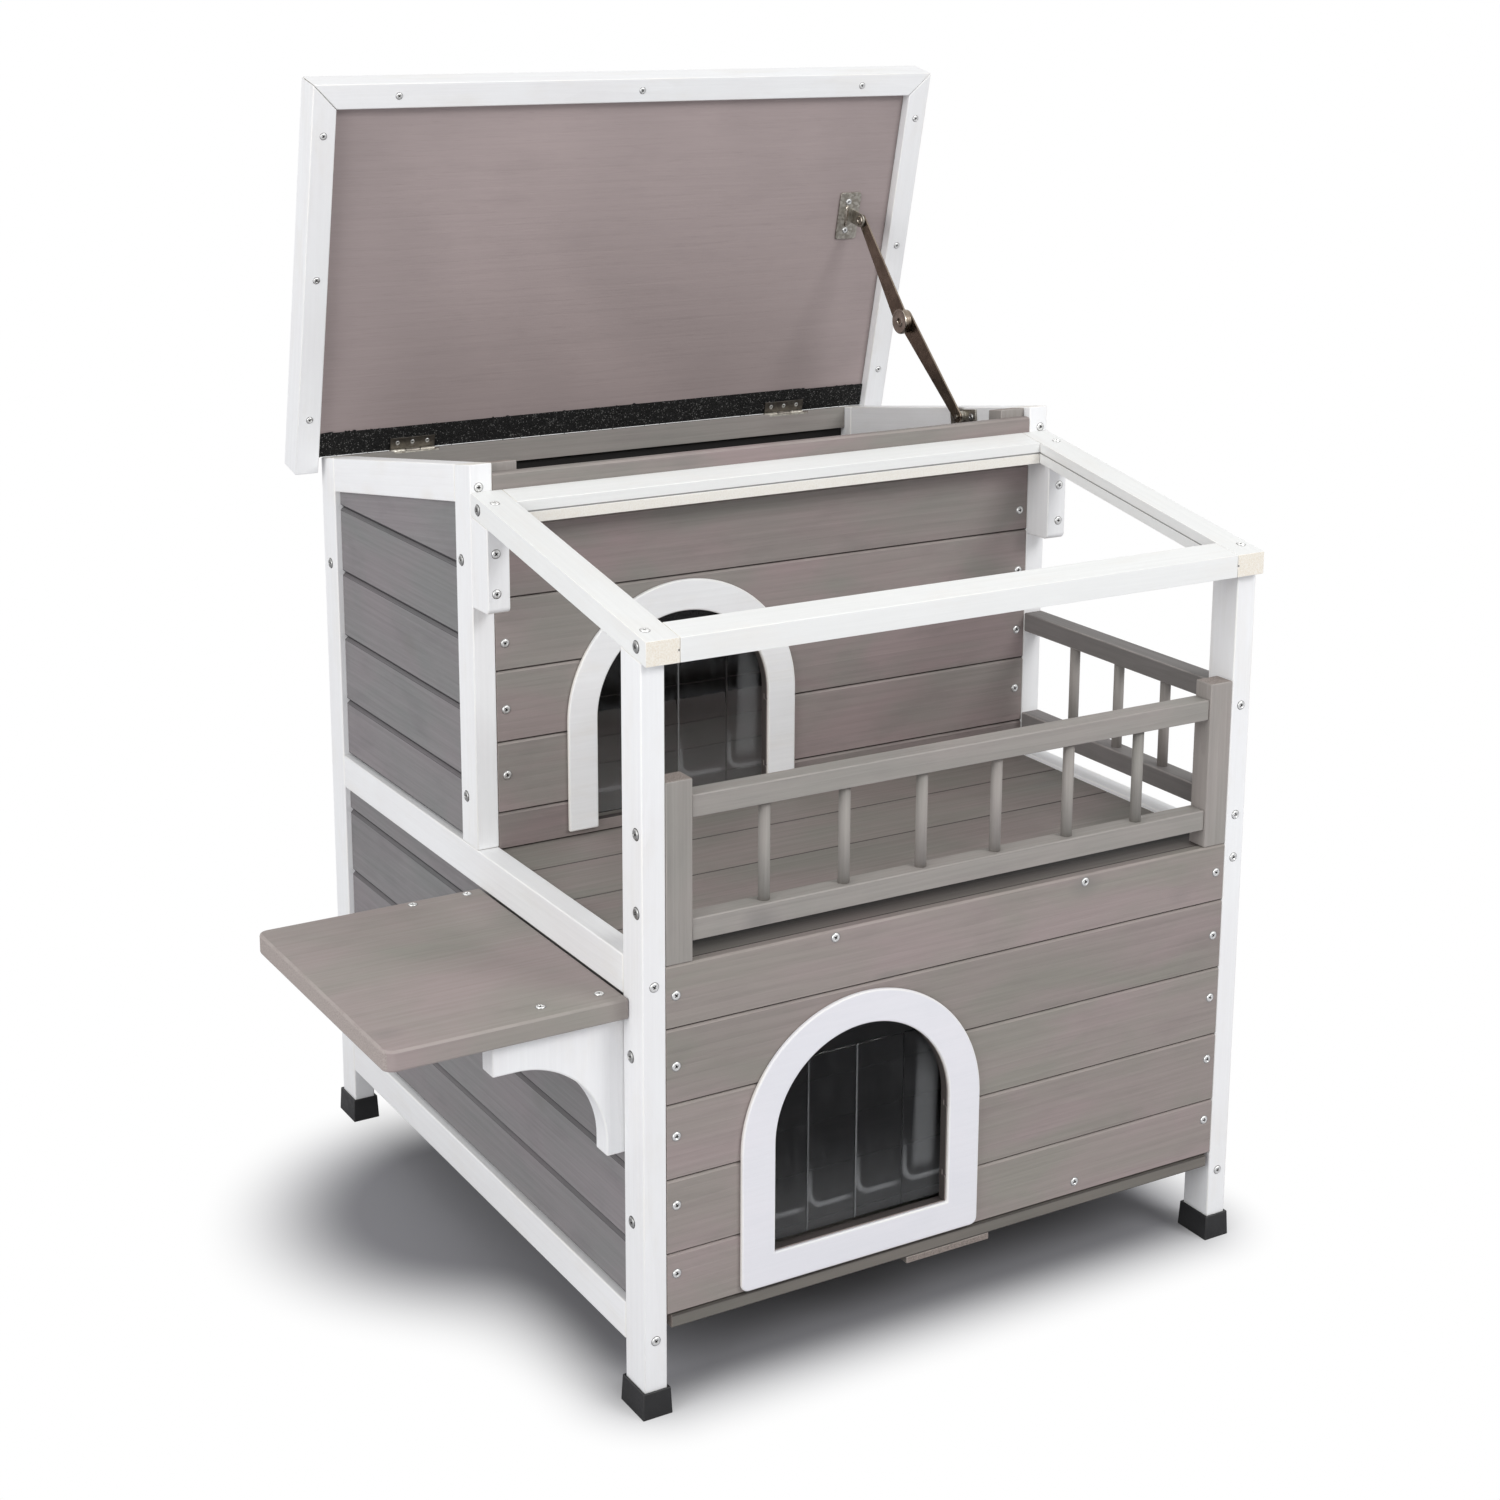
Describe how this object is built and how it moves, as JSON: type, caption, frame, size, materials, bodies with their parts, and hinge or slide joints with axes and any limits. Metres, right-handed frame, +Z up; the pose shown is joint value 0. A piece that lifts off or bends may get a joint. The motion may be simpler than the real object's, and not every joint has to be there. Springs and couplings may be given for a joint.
{
  "type": "wooden cat house",
  "caption": "Two-storey slatted cat house on legs with arched strip-curtain doorways, a railed balcony under an open pergola, a side step, a pull-out floor and a hinged lid on an elbow stay.",
  "frame": {"origin": "centre of the overall box on the ground, lid standing open", "axes": "+Z up, -Y towards the front with the lower doorway, +X to the right seen from the front; the side step is on -X"},
  "size_m": [0.777, 0.6264, 0.9631],
  "materials": {
    "white_batten": "thin white water-based paint over planed fir, cut ends creamier",
    "grey_board": "warm grey stain over fir, the grain showing",
    "grey_batten": "grey stain over planed fir",
    "grey_deck": "grey stain over planed fir",
    "raw_wood": "bare planed fir",
    "foot_cap": "moulded black plastic, lightly grained",
    "roofing_felt": "bitumen felt with sparkling black mineral grit",
    "clear_vinyl": "clear soft vinyl sheet",
    "hinge_zinc": "zinc-plated",
    "stay_plate": "zinc-plated, slightly yellow-grey",
    "stay_arm": "dark bronze coating",
    "screw_head": "zinc-plated cross-slot heads"
  },
  "bodies": {
    "house": {"left_front_post": "white_batten", "left_back_post": "white_batten", "left_middle_post": "white_batten", "left_bottom_rail": "white_batten", "left_middle_rail": "white_batten", "left_roof_rail": "white_batten", "left_lower_boards": "grey_board", "left_upper_boards": "grey_board", "right_front_post": "white_batten", "right_back_post": "white_batten", "right_middle_post": "white_batten", "right_bottom_rail": "white_batten", "right_middle_rail": "white_batten", "right_roof_rail": "white_batten", "right_lower_boards": "grey_board", "right_upper_boards": "grey_board", "foot_caps": "foot_cap", "front_lower_boards": "grey_board", "lower_door_surround": "white_batten", "front_cleats": "grey_batten", "deck_boards": "grey_deck", "deck_runners": "raw_wood", "front_upper_boards": "grey_board", "upper_door_surround": "white_batten", "back_boards": "grey_board", "back_rails": "grey_batten", "railing_posts": "grey_batten", "front_handrails": "grey_batten", "side_handrails": "grey_batten", "railing_spindles": "grey_batten", "pergola_rafters": "white_batten", "pergola_cross_rails": "white_batten", "pergola_blocks": "white_batten", "step_board": "grey_deck", "step_brackets": "white_batten", "floor_ledgers": "raw_wood", "frame_hinge_leaves": "hinge_zinc", "stay_frame_bracket": "stay_plate", "curtain_headers": "clear_vinyl", "frame_screws": "screw_head"},
    "lid": {"lid_panel": "grey_board", "lid_felt": "roofing_felt", "lid_side_bars": "white_batten", "lid_front_bar": "white_batten", "lid_hinge_leaves": "hinge_zinc", "stay_lid_bracket": "stay_plate", "lid_screws": "screw_head"},
    "stay_upper": {"stay_upper_arm": "stay_arm"},
    "stay_lower": {"stay_lower_arm": "stay_arm"},
    "floor": {"floor_boards": "grey_deck", "floor_battens": "raw_wood"},
    "lower_strip_1": {"lower_strip_1": "clear_vinyl"},
    "lower_strip_2": {"lower_strip_2": "clear_vinyl"},
    "lower_strip_3": {"lower_strip_3": "clear_vinyl"},
    "lower_strip_4": {"lower_strip_4": "clear_vinyl"},
    "upper_strip_1": {"upper_strip_1": "clear_vinyl"},
    "upper_strip_2": {"upper_strip_2": "clear_vinyl"},
    "upper_strip_3": {"upper_strip_3": "clear_vinyl"},
    "upper_strip_4": {"upper_strip_4": "clear_vinyl"}
  },
  "joints": [
    {"name": "lid_hinge", "type": "hinge", "parent": "house", "child": "lid", "pos_m": [0.08, 0.28878, 0.62735], "axis": [1, 0, 0], "range_deg": [0, 68.6]},
    {"name": "stay_lower_pivot", "type": "hinge", "parent": "house", "child": "stay_lower", "pos_m": [0.3335, 0.07458, 0.65226], "axis": [1, 0, 0], "range_deg": [-66.3, 0]},
    {"name": "stay_upper_pivot", "type": "hinge", "parent": "lid", "child": "stay_upper", "pos_m": [0.3285, 0.23142, 0.81867], "axis": [1, 0, 0], "range_deg": [0, 52.5]},
    {"name": "floor_slide", "type": "slide", "parent": "house", "child": "floor", "axis": [0, -1, 0], "range_m": [0, 0.42]},
    {"name": "lower_strip_1_swing", "type": "hinge", "parent": "house", "child": "lower_strip_1", "pos_m": [-0.011, -0.29602, 0.2537], "axis": [1, 0, 0], "range_deg": [0, 75]},
    {"name": "lower_strip_2_swing", "type": "hinge", "parent": "house", "child": "lower_strip_2", "pos_m": [-0.011, -0.29602, 0.2537], "axis": [1, 0, 0], "range_deg": [-70, 75]},
    {"name": "lower_strip_3_swing", "type": "hinge", "parent": "house", "child": "lower_strip_3", "pos_m": [-0.011, -0.29602, 0.2537], "axis": [1, 0, 0], "range_deg": [-70, 75]},
    {"name": "lower_strip_4_swing", "type": "hinge", "parent": "house", "child": "lower_strip_4", "pos_m": [-0.011, -0.29602, 0.2537], "axis": [1, 0, 0], "range_deg": [0, 75]},
    {"name": "upper_strip_1_swing", "type": "hinge", "parent": "house", "child": "upper_strip_1", "pos_m": [-0.011, -0.01552, 0.5105], "axis": [1, 0, 0], "range_deg": [0, 75]},
    {"name": "upper_strip_2_swing", "type": "hinge", "parent": "house", "child": "upper_strip_2", "pos_m": [-0.011, -0.01552, 0.5105], "axis": [1, 0, 0], "range_deg": [-70, 75]},
    {"name": "upper_strip_3_swing", "type": "hinge", "parent": "house", "child": "upper_strip_3", "pos_m": [-0.011, -0.01552, 0.5105], "axis": [1, 0, 0], "range_deg": [-70, 75]},
    {"name": "upper_strip_4_swing", "type": "hinge", "parent": "house", "child": "upper_strip_4", "pos_m": [-0.011, -0.01552, 0.5105], "axis": [1, 0, 0], "range_deg": [0, 75]}
  ],
  "couplings": [
    {"joint": "stay_lower_pivot", "follows": "lid_hinge", "ratio": -0.96},
    {"joint": "stay_upper_pivot", "follows": "lid_hinge", "ratio": 0.76}
  ]
}
